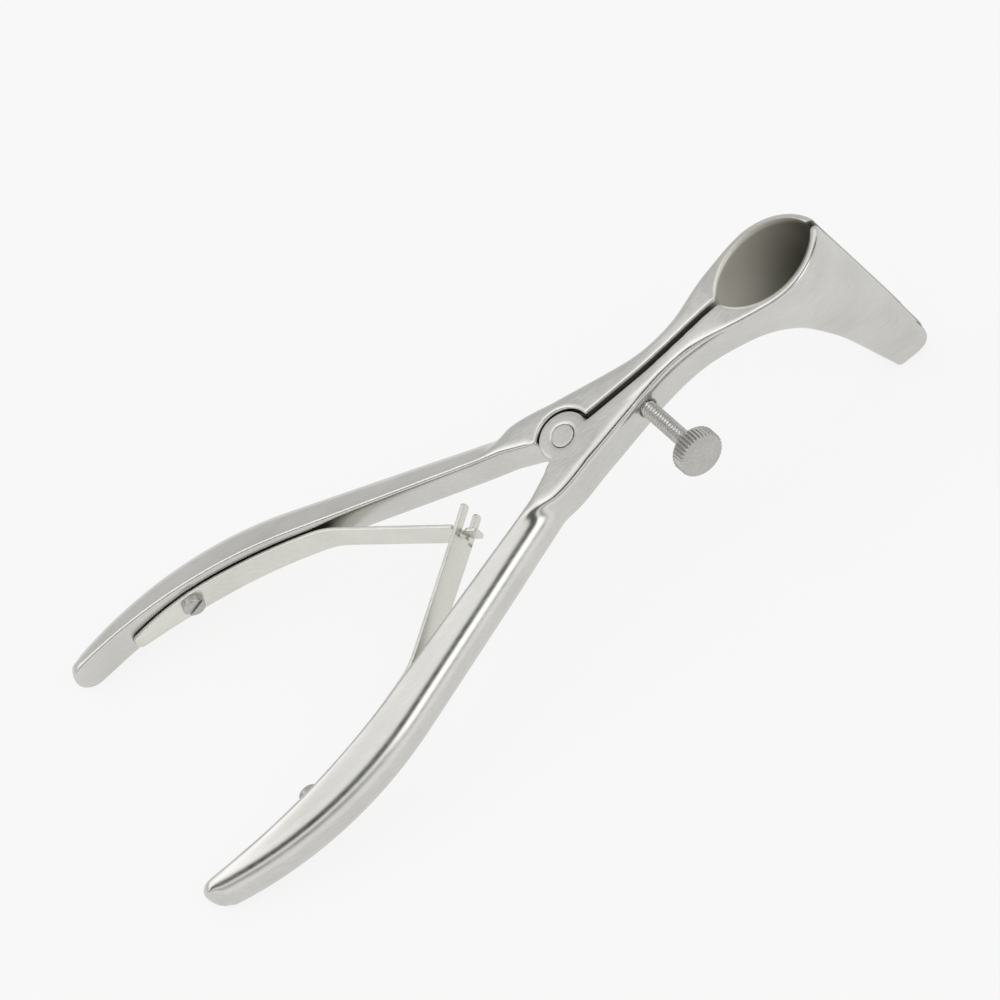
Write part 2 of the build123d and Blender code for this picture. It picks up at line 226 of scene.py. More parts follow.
@dataclass(frozen=True)
class SatinSteel:
    """Stainless steel, worked and then satin polished: a soft sheen with fine lines.

    Where inside has stops (distance along the row frame, colour), the slit's and the funnel's
    inner faces are rougher and less metallic, and take those colours as painted shade and painted
    light.
    """

    name: str
    light: str
    dark: str
    roughness: tuple[float, float]
    line_width_mm: float = 0.35
    line_length_mm: float = 7.0
    line_depth_mm: float = 0.004
    line_detail: float = 3.0
    line_bump: float = 0.5
    cloud_mm: float = 9.0
    cloud_detail: float = 4.0
    cloud_share: float = 0.6
    tone_span: tuple[float, float] = (0.35, 0.65)
    inside: tuple[tuple[float, str], ...] = ()
    inside_roughness: float = 0.4
    inside_metal: float = 0.5
    mouth_from: float = 42.5
    fade: float = 0.8
    slit_aside: tuple[float, float] = (0.62, 0.52)
    funnel_facing: tuple[float, float] = (-0.15, -0.4)

    def painted_inner_shade(
        self, tree: bpy.types.NodeTree, coords: bpy.types.Node
    ) -> tuple[bpy.types.NodeSocket, bpy.types.NodeSocket]:
        """Inner faces that take painted light and shade: the slit's, and the funnel's past the
        mouth.

        The slit is close to the middle plane. In the funnel a face looks back at that plane,
        so its distance from it times its normal's share across is below zero.

        Args:
            tree: node tree of the material.
            coords: texture coordinates of the piece.

        Returns:
            Socket that is 1 on the inner faces, and the socket of their painted shade and light
            colour.
        """
        place = add_node(tree, "ShaderNodeSeparateXYZ", {0: coords.outputs["Object"]})
        facing = add_node(tree, "ShaderNodeSeparateXYZ", {0: coords.outputs["Normal"]})
        along, across = place.outputs["X"], place.outputs["Y"]
        toward = add_node(
            tree, "ShaderNodeMath", {0: across, 1: facing.outputs["Y"]}, operation="MULTIPLY"
        )
        aside = add_node(tree, "ShaderNodeMath", {0: across}, operation="ABSOLUTE")
        first, last = self.inside[0][0], self.inside[-1][0]
        limits = (
            (along, self.mouth_from, self.mouth_from + self.fade),
            (toward.outputs[0], *self.funnel_facing),
            (along, first - self.fade, first),
            (aside.outputs[0], *self.slit_aside),
            (along, first, last),
        )
        *shares, run_share = [
            add_node(
                tree,
                "ShaderNodeMapRange",
                {"Value": value},
                from_min=none / MM_PER_M,
                from_max=full / MM_PER_M,
            ).outputs["Result"]
            for value, none, full in limits
        ]
        funnel, slit = [
            add_node(tree, "ShaderNodeMath", {0: one, 1: other}, operation="MULTIPLY").outputs[0]
            for one, other in (shares[:2], shares[2:])
        ]
        either = add_node(tree, "ShaderNodeMath", {0: funnel, 1: slit}, operation="MAXIMUM")
        # Colour ramp of painted shade and painted light along the run: dark slit, light funnel
        # back, dark funnel front.
        tint = add_node(tree, "ShaderNodeValToRGB", {"Fac": run_share})
        steps = tint.color_ramp.elements
        while len(steps) < len(self.inside):
            steps.new(0.5)
        for step, (run, code) in zip(steps, self.inside):
            step.position = (run - first) / (last - first)
            step.color = linear(code)
        return either.outputs[0], tint.outputs["Color"]

    def make(self) -> bpy.types.Material:
        """Material whose colour, roughness and bump follow noise stretched along the piece.

        Returns:
            The new material.
        """
        material = bpy.data.materials.new(self.name)
        material.use_nodes = True
        tree = material.node_tree
        tree.nodes.clear()
        coords = add_node(tree, "ShaderNodeTexCoord")
        place = coords.outputs["Object"]
        # Polishing lines are finer than a pixel, so they are drawn about three times as wide.
        along, across = MM_PER_M / self.line_length_mm, MM_PER_M / self.line_width_mm
        stretch = add_node(
            tree,
            "ShaderNodeMapping",
            {"Vector": place},
            scale=(along, across, across),
            rotation=(0.0, -POSE.lean, 0.0),
        )
        lines = add_node(
            tree,
            "ShaderNodeTexNoise",
            {"Vector": stretch.outputs["Vector"]},
            scale=1.0,
            detail=self.line_detail,
        )
        clouds = add_node(
            tree,
            "ShaderNodeTexNoise",
            {"Vector": place},
            scale=MM_PER_M / self.cloud_mm,
            detail=self.cloud_detail,
        )
        tone = add_node(
            tree,
            "ShaderNodeMix",
            {0: self.cloud_share, 2: lines.outputs["Fac"], 3: clouds.outputs["Fac"]},
            data_type="FLOAT",
        )
        spread, rough = [
            add_node(
                tree,
                "ShaderNodeMapRange",
                {"Value": tone.outputs[0]},
                from_min=self.tone_span[0],
                from_max=self.tone_span[1],
                to_min=low,
                to_max=high,
            ).outputs["Result"]
            for low, high in ((0.0, 1.0), self.roughness)
        ]
        colour = add_node(
            tree,
            "ShaderNodeMix",
            {0: spread, 6: linear(self.dark), 7: linear(self.light)},
            data_type="RGBA",
        )
        tint, metal = colour.outputs[2], 1.0
        if self.inside:
            # The inner faces take painted shade colours: dark in the slit and at the funnel's
            # front, with painted light on its back wall.
            mask, painted_shade_colour = self.painted_inner_shade(tree, coords)
            painted_shade_mix = add_node(tree, "ShaderNodeMix", {0: mask, 6: tint, 7: painted_shade_colour}, data_type="RGBA")
            tint = painted_shade_mix.outputs[2]
            rough, metal = [
                add_node(
                    tree, "ShaderNodeMix", {0: mask, 2: outside, 3: within}, data_type="FLOAT"
                ).outputs[0]
                for outside, within in ((rough, self.inside_roughness), (metal, self.inside_metal))
            ]
        bump = add_node(
            tree,
            "ShaderNodeBump",
            {"Height": lines.outputs["Fac"]},
            strength=self.line_bump,
            distance=self.line_depth_mm / MM_PER_M,
        )
        shader = add_node(
            tree,
            "ShaderNodeBsdfPrincipled",
            {
                "Base Color": tint,
                "Roughness": rough,
                "Metallic": metal,
                "Normal": bump.outputs["Normal"],
            },
        )
        add_node(tree, "ShaderNodeOutputMaterial", {"Surface": shader.outputs["BSDF"]})
        return material


class Finish(Enum):
    """Finishes of the instrument's pieces."""

    # Forged and satin polished: broad soft highlights with faint lengthwise lines. The slit
    # and the funnel are rougher and less metallic, and their colours are painted shade and painted
    # light.
    FORGING = SatinSteel(
        "satin_forged_steel",
        "#D9D8D4",
        "#CBCAC6",
        (0.18, 0.27),
        # Inner colour stops: painted shade in the slit and at the funnel's front, painted light on
        # the funnel's back wall.
        inside=(
            (17.0, "#75736D"),
            (41.5, "#75736D"),
            (43.5, "#F4F2E8"),
            (50.0, "#CFCDC3"),
            (60.0, "#6A675C"),
            (61.5, "#6A675C"),
            (63.0, "#CFCDC5"),
        ),
    )
    # Rolled strip: paler and more matt than the forgings, with no sharp highlight.
    LEAF = SatinSteel("rolled_spring_steel", "#E8E7E0", "#D8D7D0", (0.28, 0.38))
    # Turned on a lathe: short tool marks that break the sheen into small, darker glints.
    TURNED = SatinSteel(
        "turned_screw_steel", "#C9C8C4", "#ADACA8", (0.22, 0.32), line_length_mm=0.7
    )

    def material(self) -> bpy.types.Material:
        """Material of this finish, made once."""
        return bpy.data.materials.get(self.value.name) or self.value.make()


def dress(obj: bpy.types.Object, finish: Finish) -> None:
    """Give an object one finish all over.

    Args:
        obj: piece or CAD node.
        finish: finish to show.
    """
    obj.data.materials.clear()
    obj.data.materials.append(finish.material())


@dataclass
class Field:
    """Signed distance to a surface on an even grid, negative inside."""

    values: np.ndarray
    low: np.ndarray
    cell: float
    settle_steps: int = 6
    least_slope: float = 0.05

    def blurred(self, width: float) -> "Field":
        """Field after a Gaussian blur, which rounds the surface's edges to about twice the width.

        Args:
            width: standard deviation in millimetres.

        Returns:
            A new field on the same grid.
        """
        spread = width / self.cell
        radius = math.ceil(3 * spread)
        taps = np.exp(-0.5 * (np.arange(-radius, radius + 1) / spread) ** 2)
        taps = (taps / taps.sum()).astype(np.float32)
        values = self.values
        for axis in range(3):
            rim = [(radius, radius) if k == axis else (0, 0) for k in range(3)]
            wide = np.moveaxis(np.pad(values, rim, mode="edge"), axis, 0)
            size = values.shape[axis]
            mixed = sum(tap * wide[k : k + size] for k, tap in enumerate(taps))
            values = np.moveaxis(mixed, 0, axis)
        return Field(values, self.low, self.cell)

    def at(self, points: np.ndarray) -> np.ndarray:
        """Field between the grid points, mixed in straight lines along each axis.

        Args:
            points: array of instrument points.

        Returns:
            One value per point.
        """
        local = (points - self.low) / self.cell
        base = np.clip(np.floor(local).astype(int), 0, np.array(self.values.shape) - 2)
        part = local - base
        total = np.zeros(len(points))
        for corner in product((0, 1), repeat=3):
            share = np.prod(np.where(corner, part, 1 - part), axis=1)
            total += share * self.values[tuple((base + corner).T)]
        return total

    def slope(self, points: np.ndarray) -> np.ndarray:
        """Gradient of the field, from central differences one cell to each side.

        Args:
            points: array of instrument points.

        Returns:
            One gradient per point.
        """
        steps = np.eye(3) * self.cell
        rises = [self.at(points + k) - self.at(points - k) for k in steps]
        return np.stack(rises, axis=1) / (2 * self.cell)

    def skin(self) -> tuple[np.ndarray, np.ndarray]:
        """Zero surface as a net: a point in each cell it crosses, a quad per crossed grid line.

        Each point slides down the slope to the surface, by the value over the slope's square.

        Returns:
            Points and quads, facing outward.
        """
        inside = self.values < 0
        shape = np.array(inside.shape) - 1
        count = np.zeros(shape, np.int8)
        for corner in product((0, 1), repeat=3):
            count += inside[tuple(slice(c, c + n) for c, n in zip(corner, shape))]
        cells = np.argwhere((count > 0) & (count < 8))
        number = np.full(shape, -1)
        number[tuple(cells.T)] = np.arange(len(cells))
        points = self.low + (cells + 0.5) * self.cell
        for _ in range(self.settle_steps):
            slope = self.slope(points)
            steep = np.maximum((slope**2).sum(axis=1), self.least_slope)
            fall = (self.at(points) / steep)[:, None] * slope
            points = points - np.clip(fall, -self.cell, self.cell)
        quads = []
        for axis in range(3):
            side = np.moveaxis(inside, axis, 0)
            cell_number = np.moveaxis(number, axis, 0)
            rows, columns = side.shape[1] - 2, side.shape[2] - 2
            around = [
                cell_number[:, a : a + rows, b : b + columns]
                for a, b in ((0, 0), (1, 0), (1, 1), (0, 1))
            ]
            start, end = side[:-1, 1:-1, 1:-1], side[1:, 1:-1, 1:-1]
            for here, order in ((start & ~end, (0, 1, 2, 3)), (~start & end, (3, 2, 1, 0))):
                order = order if axis != 1 else order[::-1]
                quads.append(np.stack([around[k][here] for k in order], axis=1))
        return points, np.concatenate(quads)


@dataclass
class ForgedArm:
    """Forged arm: its CAD solid as a distance field, blurred so that its edges are polished."""

    side: Side
    cell: float = 0.3
    block: int = 4
    reach: float = 1.4
    # A little over the square root of 3, from a block's middle to its corner.
    diagonal: float = 1.75
    past_hit: float = 1e-4
    crisp: float = 0.2
    soft: float = 0.42
    broad: float = 0.7
    slit_edge: float = 2.2
    joint_edge: float = 6.6
    mouth_from: float = 25.0
    mouth_ease: float = 8.0
    hole_x: float = 13.1
    hole_patch: float = 2.3
    hole_wall: float = -2.6
    flank_back: float = -22.0
    back_ease: float = 8.0
    flank_front: float = 33.0
    front_ease: float = 10.0
    flank_turn: float = 2.0
    flank_spread: float = 0.39
    smooth_angle: float = 180.0

    def inside(self, tree: BVHTree, low: np.ndarray, shape: tuple[int, int, int]) -> np.ndarray:
        """Grid points inside the solid, by the vote of rays along the three axes.

        Args:
            tree: the solid's faces.
            low: first grid point.
            shape: grid size.

        Returns:
            One truth value per grid point.
        """
        votes = np.zeros(shape, np.int8)
        for axis in range(3):
            way = Vector(np.eye(3)[axis])
            lines = np.moveaxis(votes, axis, 0)
            rows, columns = [
                low[k] + np.arange(shape[k]) * self.cell for k in range(3) if k != axis
            ]
            base = low[axis]
            for (i, p), (j, q) in product(enumerate(rows.tolist()), enumerate(columns.tolist())):
                spot = [p, q]
                spot.insert(axis, base - self.cell)
                hit = tree.ray_cast(Vector(spot), way)[0]
                crossings = []
                while hit is not None:
                    crossings.append(math.ceil((hit[axis] - base) / self.cell))
                    hit = tree.ray_cast(hit + way * self.past_hit, way)[0]
                for start, end in zip(crossings[::2], crossings[1::2]):
                    lines[start:end, i, j] += 1
        return votes > 1

    def measure(self) -> Field:
        """Signed distance to the CAD solid: exact near its skin, held even farther off.

        Returns:
            The field on a grid that clears the solid on every side.
        """
        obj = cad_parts[f"{self.side.name.lower()}_arm"]
        corners = POSE.lift(np.array([obj.matrix_world @ v.co for v in obj.data.vertices]))
        obj.data.calc_loop_triangles()
        triangles = [tuple(t.vertices) for t in obj.data.loop_triangles]
        tree = BVHTree.FromPolygons(corners.tolist(), triangles)
        size = self.cell * self.block
        low = corners.min(axis=0) - 2 * self.reach
        blocks = np.ceil((corners.max(axis=0) + 2 * self.reach - low) / size).astype(int)
        middle = self.cell * (self.block - 1) / 2
        places = low + middle + np.array(list(np.ndindex(*blocks))) * size
        coarse = np.array([tree.find_nearest(p)[3] for p in places.tolist()]).reshape(blocks)
        near = np.argwhere(coarse < self.reach + self.diagonal * middle)
        inner = np.array(list(product(range(self.block), repeat=3)))
        index = (near[:, None] * self.block + inner).reshape(-1, 3)
        values = np.full(blocks * self.block, self.reach, np.float32)
        fine = [tree.find_nearest(p)[3] for p in (low + index * self.cell).tolist()]
        values[tuple(index.T)] = np.minimum(fine, self.reach)
        values[self.inside(tree, low, values.shape)] *= -1
        return Field(values, low, self.cell)

    def polish(self, raw: Field) -> Field:
        """Crisp edges at the slit, joint, mouth and screw hole, and broad ones on the flanks.

        Args:
            raw: measured field.

        Returns:
            The blend of a narrow, a middling and a wide blur.
        """
        x, y, z = np.ix_(
            *(raw.low[k] + np.arange(n) * raw.cell for k, n in enumerate(raw.values.shape))
        )
        hole = self.hole_patch - np.hypot(x - self.hole_x, z)
        edges = (
            self.slit_edge - np.abs(y),
            self.joint_edge - np.hypot(x, y),
            (x - self.mouth_from) / self.mouth_ease,
            np.minimum(hole, self.hole_wall - y),
        )
        behind = np.maximum(self.flank_turn - x, 0)
        flanks = (
            (x - self.flank_back) / self.back_ease,
            (self.flank_front - x) / self.front_ease,
            np.abs(y) - self.slit_edge - self.flank_spread * behind,
        )
        near = ease(reduce(np.maximum, edges))
        wide = ease(reduce(np.minimum, flanks)) * (1 - near)
        widths = (self.crisp, self.soft, self.broad)
        crisp, soft, broad = (raw.blurred(width).values for width in widths)
        blend = near * crisp + wide * broad + (1 - near - wide) * soft
        return Field(blend, raw.low, raw.cell)

    def build(self) -> bpy.types.Object:
        """Make the arm's skin in place of its CAD node.

        Returns:
            The arm's object.
        """
        name = self.side.name.lower()
        shape = self.polish(self.measure())
        points, quads = shape.skin()
        skin = Surface(f"{name}_forging")
        skin.patch(points, quads)
        obj = skin.build(self.smooth_angle)
        normals = shape.slope(points) @ POSE.turn().T
        normals /= np.linalg.norm(normals, axis=1, keepdims=True)
        obj.data.normals_split_custom_set_from_vertices(normals.tolist())
        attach(obj, "moving_arm" if self.side is Side.LEFT else "fixed_arm")
        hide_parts(f"{name}_arm")
        dress(obj, Finish.FORGING)
        log.info("built the %s arm, %d quads", name, len(quads))
        return obj


@dataclass
class Fasteners:
    """CAD nodes that keep their solid shape and only get softened edges and a finish."""

    cell_mm: float = 0.06
    factor: float = 0.5
    passes: int = 6

    def soften(self, node: str, finish: Finish) -> None:
        """Round a node's edges as polishing does, by an even remesh and a few smoothing passes.

        Args:
            node: CAD node name.
            finish: finish of the node.
        """
        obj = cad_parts[node]
        even = obj.modifiers.new("even_skin", "REMESH")
        even.mode = "VOXEL"
        even.voxel_size = self.cell_mm / MM_PER_M
        even.use_smooth_shade = True
        polish = obj.modifiers.new("polish", "SMOOTH")
        polish.factor = self.factor
        polish.iterations = self.passes
        dress(obj, finish)
        log.info("softened %s", node)

    def build(self) -> None:
        """Soften and dress every CAD node that stays."""
        self.soften("pivot_pin", Finish.FORGING)
        for node in ("left_spring_screw", "right_spring_screw"):
            self.soften(node, Finish.TURNED)


@dataclass
class LeafSpring:
    """Leaf spring along a handle's inner face, hooked to its partner on the middle plane."""

    side: Side
    start: tuple[float, float] = (-6.0, 3.95)
    splay: float = 21.3
    straight: float = 40.8
    palm_radius: float = 90.0
    root_run: float = 72.5
    leave_run: float = 38.6
    bend_radius: float = 14.0
    angle: float = 42.5
    thick: float = 0.66
    stand_off: float = 0.24
    root_top: float = 4.4
    root_bottom: float = -0.5
    tip_top: float = 2.9
    tip_bottom: float = -2.5
    root_round: float = 0.9
    taper_run: float = 16.0
    taper_top: float = 1.8
    taper_bottom: float = 0.6
    hook_gap: float = 0.45
    overlap: float = 0.5
    neck_half: float = 0.7
    neck_sink: float = 0.3
    slot_half: float = 1.1
    tee_half: float = 1.45
    tee_length: float = 2.1
    tee_round: float = 0.5
    prong_length: float = 4.0
    prong_round: float = 0.45
    corner: float = 0.14
    corner_step: float = 22.5
    seat_stations: int = 70
    bend_stations: int = 14
    free_stations: int = 60
    neck_stations: int = 12
    tee_stations: int = 26
    prong_stations: int = 24
    smooth_angle: float = 40.0

    @property
    def shoulder(self) -> float:
        """Distance from the strip's full-width end to the middle plane."""
        return self.thick / 2 + self.hook_gap

    @property
    def tip_middle(self) -> float:
        """Height of the hook's middle, halfway between the tip's edges."""
        return (self.tip_top + self.tip_bottom) / 2

    def palm(self, run: np.ndarray) -> np.ndarray:
        """Inner face of the left handle in plan: a straight run, then an arc that turns inward.

        Args:
            run: distances along the face in millimetres.

        Returns:
            Array of x, y and heading per distance.
        """
        heading = math.radians(180 - self.splay)
        straight = np.minimum(run, self.straight)
        turned = np.maximum(run - self.straight, 0) / self.palm_radius
        x = self.start[0] + straight * math.cos(heading)
        y = self.start[1] + straight * math.sin(heading)
        x = x + self.palm_radius * (np.sin(heading + turned) - math.sin(heading))
        y = y + self.palm_radius * (math.cos(heading) - np.cos(heading + turned))
        return np.stack([x, y, heading + turned], axis=-1)

    def path(self, spare: float) -> np.ndarray:
        """Middle line of the leaf: back along the inner face, round the bend, then straight on.

        Args:
            spare: length past the crossing with the middle plane.

        Returns:
            Array of x, y and heading, from root to tip.
        """
        root = self.palm(np.linspace(self.root_run, self.leave_run, self.seat_stations))
        seat = root[:, 2] - math.pi
        first, last = -math.radians(self.splay), -math.radians(self.angle)
        turn = np.linspace(first, last, self.bend_stations)[1:]
        bend_x = root[-1, 0] + self.bend_radius * (math.sin(first) - np.sin(turn))
        bend_y = root[-1, 1] + self.bend_radius * (np.cos(turn) - math.cos(first))
        x = np.concatenate([root[:, 0], bend_x])
        y = np.concatenate([root[:, 1], bend_y])
        way = np.concatenate([seat, turn])
        x = x + (self.stand_off + self.thick / 2) * np.sin(way)
        y = y - (self.stand_off + self.thick / 2) * np.cos(way)
        reach = -y[-1] / math.sin(last) + spare
        free = np.linspace(0, reach, self.free_stations)[1:]
        x = np.concatenate([x, x[-1] + free * math.cos(last)])
        y = np.concatenate([y, y[-1] + free * math.sin(last)])
        way = np.concatenate([way, np.full(free.size, last)])
        return np.stack([x, y, way], axis=-1)

    def edges(self, line: np.ndarray) -> tuple[np.ndarray, np.ndarray]:
        """Edges of the strip: straight from root to tip, with a round and a taper at the root.

        Args:
            line: x, y and heading per station.

        Returns:
            Lower and upper edge per station.
        """
        step = np.hypot(*np.diff(line[:, :2], axis=0).T)
        run = np.concatenate([[0], np.cumsum(step)])
        share = (line[:, 0] - line[0, 0]) / (line[-1, 0] - line[0, 0])
        left = np.maximum(self.root_round - run, 0)
        cut = self.root_round - np.sqrt(np.maximum(self.root_round**2 - left**2, 0))
        taper = np.maximum(1 - run / self.taper_run, 0) ** 2
        low = self.root_bottom + (self.tip_bottom - self.root_bottom) * share
        high = self.root_top + (self.tip_top - self.root_top) * share
        return low + cut + self.taper_bottom * taper, high - cut - self.taper_top * taper

    def rings(self, line: np.ndarray, low: np.ndarray, high: np.ndarray) -> np.ndarray:
        """Rounded rectangles carried along a line: four quarter-round corners per station.

        Args:
            line: x, y and heading per station.
            low: lower edge per station.
            high: upper edge per station.

        Returns:
            Ring points shaped (stations, around, 3).
        """
        turns = np.radians(np.arange(0, 91, self.corner_step))
        arc = np.concatenate([turns + k * math.pi / 2 for k in range(4)])
        sign_n = np.repeat([1, -1, -1, 1], turns.size)
        sign_z = np.repeat([1, 1, -1, -1], turns.size)
        round_z = np.minimum(self.corner, (high - low) / 2)[:, None]
        across = sign_n * (self.thick / 2 - self.corner) + self.corner * np.cos(arc)
        middle = ((high + low) / 2)[:, None]
        half = ((high - low) / 2)[:, None]
        z = middle + sign_z * (half - round_z) + round_z * np.sin(arc)
        x = line[:, 0, None] - np.sin(line[:, 2, None]) * across
        y = line[:, 1, None] + np.cos(line[:, 2, None]) * across
        return np.stack([x, y * self.side.value, z], axis=-1)[:, :: int(self.side.value)]

    def onward(self, base: np.ndarray, stations: np.ndarray) -> np.ndarray:
        """Straight line on from the strip's end.

        Args:
            base: x, y and heading of the strip's end.
            stations: distances past the middle plane.

        Returns:
            Array of x, y and heading per station.
        """
        gone = stations + self.shoulder
        x = base[0] + gone * math.cos(base[2])
        y = base[1] + gone * math.sin(base[2])
        return np.stack([x, y, np.full(gone.size, base[2])], axis=-1)

    @staticmethod
    def rounded(stations: np.ndarray, half: float, radius: float, both: bool) -> np.ndarray:
        """Half height with round ends: the side of a circle at the tip, and at the start if both.

        Args:
            stations: distances along the piece.
            half: half height between the ends.
            radius: radius of the round.
            both: whether the start is round too.

        Returns:
            Half height per station.
        """
        end = np.maximum(radius - (stations[-1] - stations), 0)
        start = np.maximum(radius - (stations - stations[0]), 0) if both else 0 * stations
        drop = 2 * radius - np.sqrt(radius**2 - end**2) - np.sqrt(radius**2 - start**2)
        return half - drop

    def hook(self, skin: Surface, base: np.ndarray) -> None:
        """Add the hook: a neck with a T-head on the left, two prongs that take it on the right.

        Args:
            skin: surface of the leaf.
            base: x, y and heading of the strip's end.
        """
        middle, shoulder = self.tip_middle, self.shoulder
        if self.side is Side.LEFT:
            neck = np.linspace(
                -shoulder - self.overlap, shoulder + self.neck_sink, self.neck_stations
            )
            half = np.full(neck.size, self.neck_half)
            skin.tube(self.rings(self.onward(base, neck), middle - half, middle + half))
            swing = np.linspace(0, math.pi, self.tee_stations)
            head = shoulder + self.tee_length * (1 - np.cos(swing)) / 2
            half = self.rounded(head, self.tee_half, self.tee_round, True)
            skin.tube(self.rings(self.onward(base, head), middle - half, middle + half))
            return
        swing = np.linspace(0, math.pi / 2, self.prong_stations)
        length = self.prong_length + shoulder + self.overlap
        prong = -shoulder - self.overlap + length * np.sin(swing)
        tip_half = (self.tip_top - self.tip_bottom) / 2
        prong_half = (tip_half - self.slot_half) / 2
        half = self.rounded(prong, prong_half, self.prong_round, False)
        for centre in (middle + tip_half - prong_half, middle - tip_half + prong_half):
            skin.tube(self.rings(self.onward(base, prong), centre - half, centre + half))

    def build(self) -> bpy.types.Object:
        """Make the leaf with its hook.

        Returns:
            The spring's object.
        """
        hand = self.side.name.lower()
        skin = Surface(f"{hand}_leaf")
        line = self.path(-self.shoulder)
        skin.tube(self.rings(line, *self.edges(line)))
        base = line[-1]
        self.hook(skin, base)
        obj = skin.build(self.smooth_angle)
        cross = base[:2] + self.shoulder * np.array([math.cos(base[2]), math.sin(base[2])])
        leave = self.palm(np.array([self.leave_run]))[0, :2]
        far = 2 * cross - leave
        ends = [
            POSE.place(np.array([p[0], p[1] * self.side.value, self.tip_middle]))
            for p in (leave, far)
        ]
        own, other = "moving_arm", "fixed_arm"
        if self.side is Side.RIGHT:
            own, other = other, own
        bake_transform(obj)
        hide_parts(f"{hand}_spring")
        dress(obj, Finish.LEAF)
        log.info("built %s", skin.name)
        return obj


@dataclass
class SetScrew:
    """Turned set screw: a threaded shank with a straight-knurled round head."""

    exit: tuple[float, float] = (13.1, -4.4)
    tilt: float = 11.7
    radius: float = 1.40
    inside: float = 3.2
    exposed: float = 11.5
    sunk: float = 0.1
    pitch: float = 0.62
    thread_depth: float = 0.26
    thread_gain: float = 1.25
    thread_crest: float = 0.12
    lead_run: float = 0.5
    lead_drop: float = 0.4
    runout_run: float = 0.4
    shank_stations: int = 260
    shank_around: int = 48
    head_radius: float = 3.93
    head_height: float = 2.7
    hub: float = 0.02
    face_ring: float = 2.2
    chamfer: float = 0.3
    corner_rise: float = 0.02
    corner_under: float = 0.05
    corner_top: float = 0.08
    rim_drop: float = 0.03
    rim_rise: float = 0.06
    flutes: int = 36
    flute_depth: float = 0.40
    flute_gain: float = 1.3
    flute_land: float = 0.2
    flute_points: int = 8
    smooth_angle: float = 35.0

    def along(self, radius: np.ndarray, turn: np.ndarray, run: np.ndarray) -> np.ndarray:
        """Points at a radius and angle about the screw's axis, at a distance out of the arm.

        The angle runs counter-clockwise about the way out.

        Args:
            radius: distance from the axis.
            turn: angle about the axis.
            run: distance along the axis, outward.

        Returns:
            Instrument points, xyz last.
        """
        tilt = math.radians(self.tilt)
        out = np.array([math.sin(tilt), -math.cos(tilt), 0.0])
        side = np.array([math.cos(tilt), math.sin(tilt), 0.0])
        up = np.array([0.0, 0.0, 1.0])
        base = np.array([self.exit[0], self.exit[1], 0.0])
        return (
            base
            + run[..., None] * out
            + (radius * np.cos(turn))[..., None] * side
            + (radius * np.sin(turn))[..., None] * up
        )

    def shank(self) -> np.ndarray:
        """Threaded shank: the radius follows a triangle wave of the run less a pitch per turn.

        Returns:
            Ring points shaped (stations, around, 3).
        """
        run = np.linspace(-self.inside, self.exposed + self.sunk, self.shank_stations)[:, None]
        turn = np.linspace(0, FULL_TURN, self.shank_around, endpoint=False)[None, :]
        phase = run / self.pitch - turn / FULL_TURN
        wave = np.abs(2 * (phase - np.floor(phase)) - 1)
        lead = np.clip((run + self.inside) / self.lead_run, 0, 1)
        runout = np.clip((self.exposed - self.runout_run - run) / self.runout_run, 0, 1)
        groove = self.thread_depth * np.clip(self.thread_gain * wave - self.thread_crest, 0, 1)
        radius = self.radius - self.lead_drop * (1 - lead) - groove * runout
        return self.along(radius, turn + 0 * run, run + 0 * turn)

    def head(self) -> np.ndarray:
        """Knurled head: a chamfered disc whose rim is cut by evenly spaced V flutes.

        Returns:
            Ring points shaped (stations, around, 3).
        """
        low, high = self.exposed, self.exposed + self.head_height
        rim, corner = self.head_radius, self.head_radius - self.chamfer
        outline = np.array(
            [
                (self.hub, low),
                (self.face_ring, low),
                (corner - self.corner_under, low),
                (corner, low + self.corner_rise),
                (rim - self.rim_drop, low + self.chamfer),
                (rim, low + self.chamfer + self.rim_rise),
                (rim, high - self.chamfer - self.rim_rise),
                (rim - self.rim_drop, high - self.chamfer),
                (corner, high - self.corner_rise),
                (corner - self.corner_top, high),
                (self.face_ring, high),
                (self.hub, high),
            ]
        )
        around = self.flutes * self.flute_points
        turn = np.linspace(0, FULL_TURN, around, endpoint=False)[None, :]
        wave = np.abs(2 * ((turn * self.flutes / FULL_TURN) % 1) - 1)
        cut = self.flute_depth * np.clip(self.flute_gain * wave - self.flute_land, 0, 1)
        radius = np.minimum(outline[:, :1], self.head_radius - cut)
        return self.along(radius, turn + 0 * radius, outline[:, 1:] + 0 * turn)

    def build(self) -> bpy.types.Object:
        """Make the screw in place of its plain CAD node.

        Returns:
            The screw's object.
        """
        skin = Surface("set_screw_turned")
        skin.tube(self.shank())
        skin.tube(self.head())
        obj = skin.build(self.smooth_angle)
        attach(obj, "set_screw")
        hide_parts("thumb_screw")
        dress(obj, Finish.TURNED)
        log.info("built the set screw")
        return obj


@dataclass(frozen=True)
class SoftBox:
    """Square soft lamp: its place and edge length in metres, and its power in watts."""

    name: str
    place: tuple[float, float, float]
    size: float
    power: float


